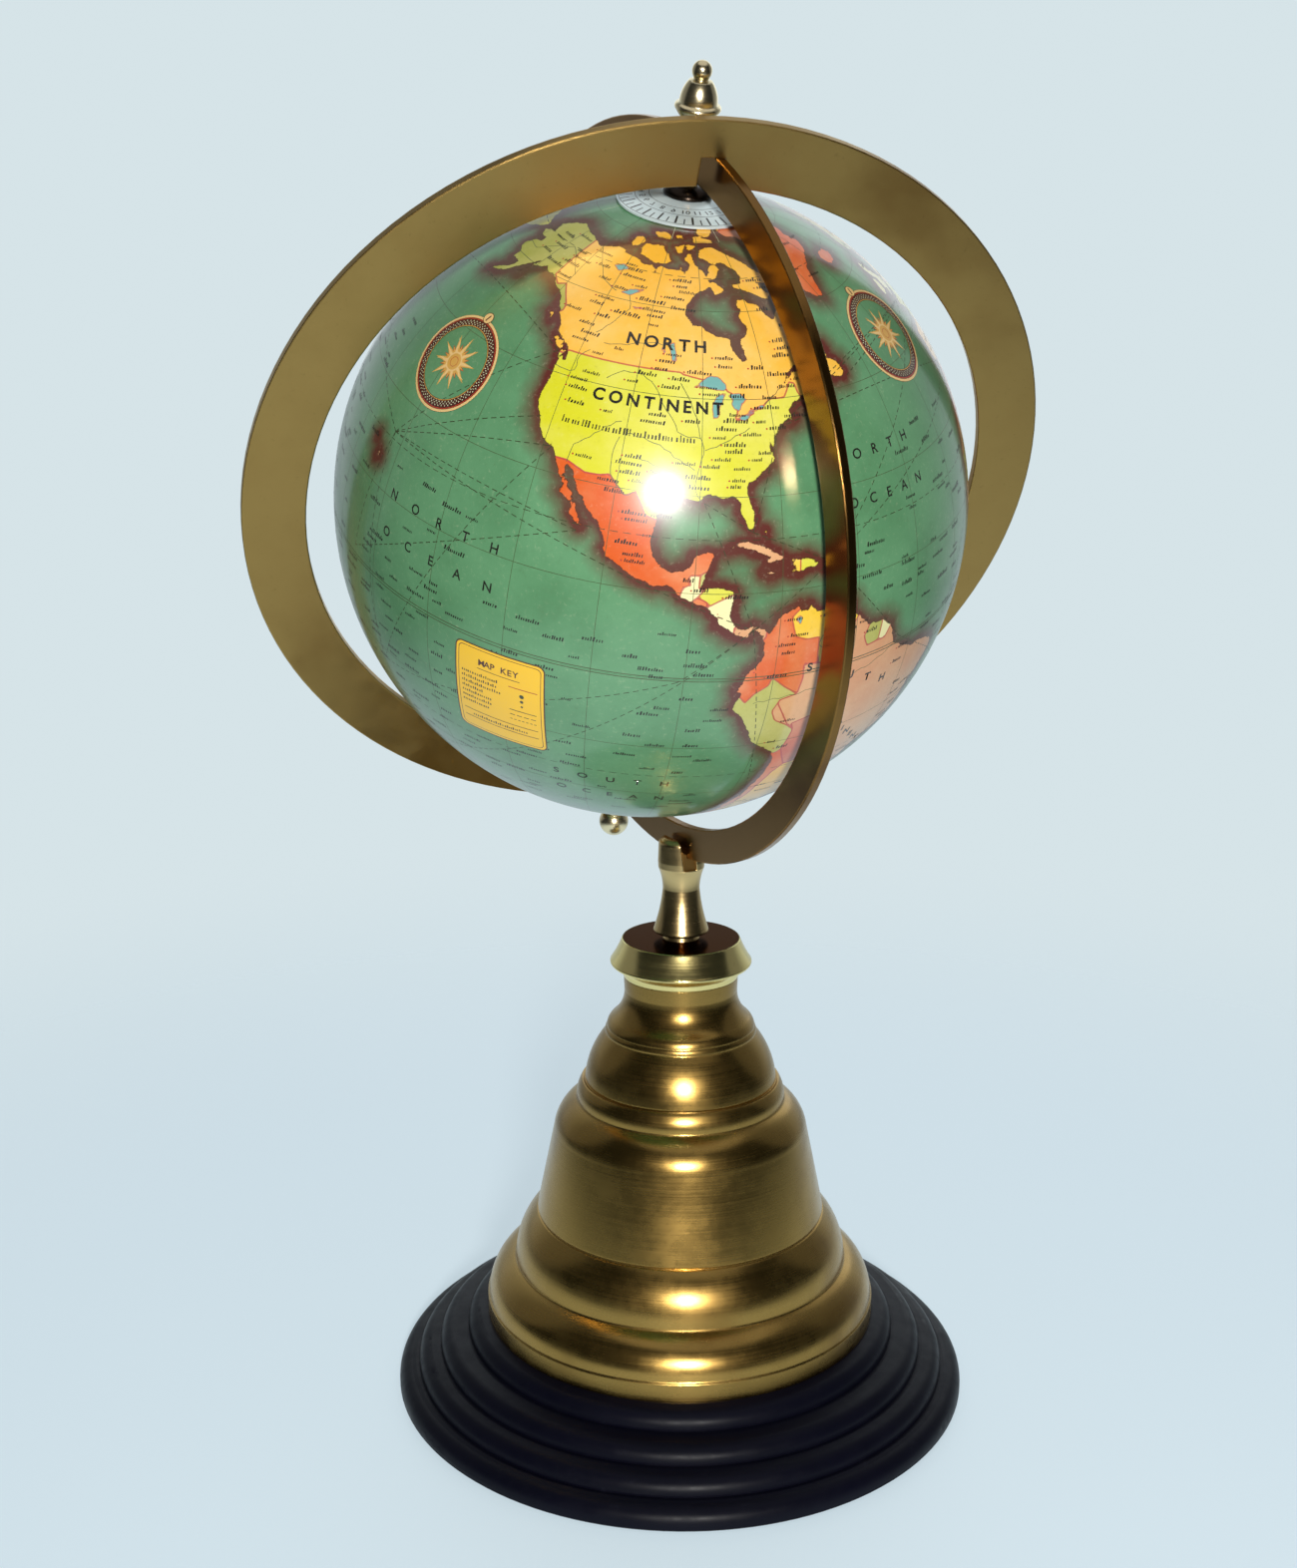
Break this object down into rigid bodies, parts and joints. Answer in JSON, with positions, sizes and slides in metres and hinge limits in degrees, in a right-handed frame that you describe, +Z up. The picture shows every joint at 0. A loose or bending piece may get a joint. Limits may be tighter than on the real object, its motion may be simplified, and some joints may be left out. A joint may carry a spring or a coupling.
{
  "type": "terrestrial globe in armillary rings",
  "caption": "Tilted terrestrial globe turning on a polar rod inside two crossed flat brass rings, on a bell-shaped brass stand with a stepped round plinth.",
  "frame": {"origin": "centre of the plinth's underside, on the table", "axes": "+Z up, -Y towards the front, +X to the right seen from the front"},
  "size_m": [0.254, 0.2129, 0.4397],
  "materials": {
    "felt": "short dark green felt",
    "black_wood": "black lacquer, satin",
    "satin_brass": "satin, lightly aged",
    "polished_brass": "polished",
    "aged_brass": "satin, aged to olive gold",
    "braze": "rough, dull",
    "steel": "plain steel",
    "globe_print": "printed map under gloss varnish",
    "card": "bare card",
    "turned_wood": "bare wood",
    "white_enamel": "white enamel with black divisions",
    "dark_brass": "darkened, polished"
  },
  "bodies": {
    "stand": {"felt_pad": "felt", "plinth": "black_wood", "bell_body": "satin_brass", "bell_collar": "polished_brass", "stem": "polished_brass", "north_finial": "polished_brass", "south_ball_nut": "polished_brass", "north_lock_nut": "polished_brass", "south_lock_nut": "polished_brass", "north_washer": "polished_brass", "south_spacer": "polished_brass", "meridian_ring": "aged_brass", "outer_ring": "aged_brass", "braze_fillet": "braze", "tie_rod": "steel", "tie_washer": "steel", "tie_nut": "steel", "axis_rod": "steel", "pole_cap": "dark_brass"},
    "globe": {"globe_north": "globe_print", "globe_south": "globe_print", "equator_band": "card", "north_bush": "turned_wood", "south_bush": "turned_wood"},
    "dial": {"hour_dial": "white_enamel"}
  },
  "joints": [
    {"name": "globe_spin", "type": "hinge", "parent": "stand", "child": "globe", "pos_m": [-0.01031, -0.00543, 0.31183], "axis": [0.1108, -0.4014, 0.9092], "continuous": true},
    {"name": "dial_turn", "type": "hinge", "parent": "globe", "child": "dial", "pos_m": [-0.01031, -0.00543, 0.31183], "axis": [0.1108, -0.4014, 0.9092], "continuous": true}
  ]
}
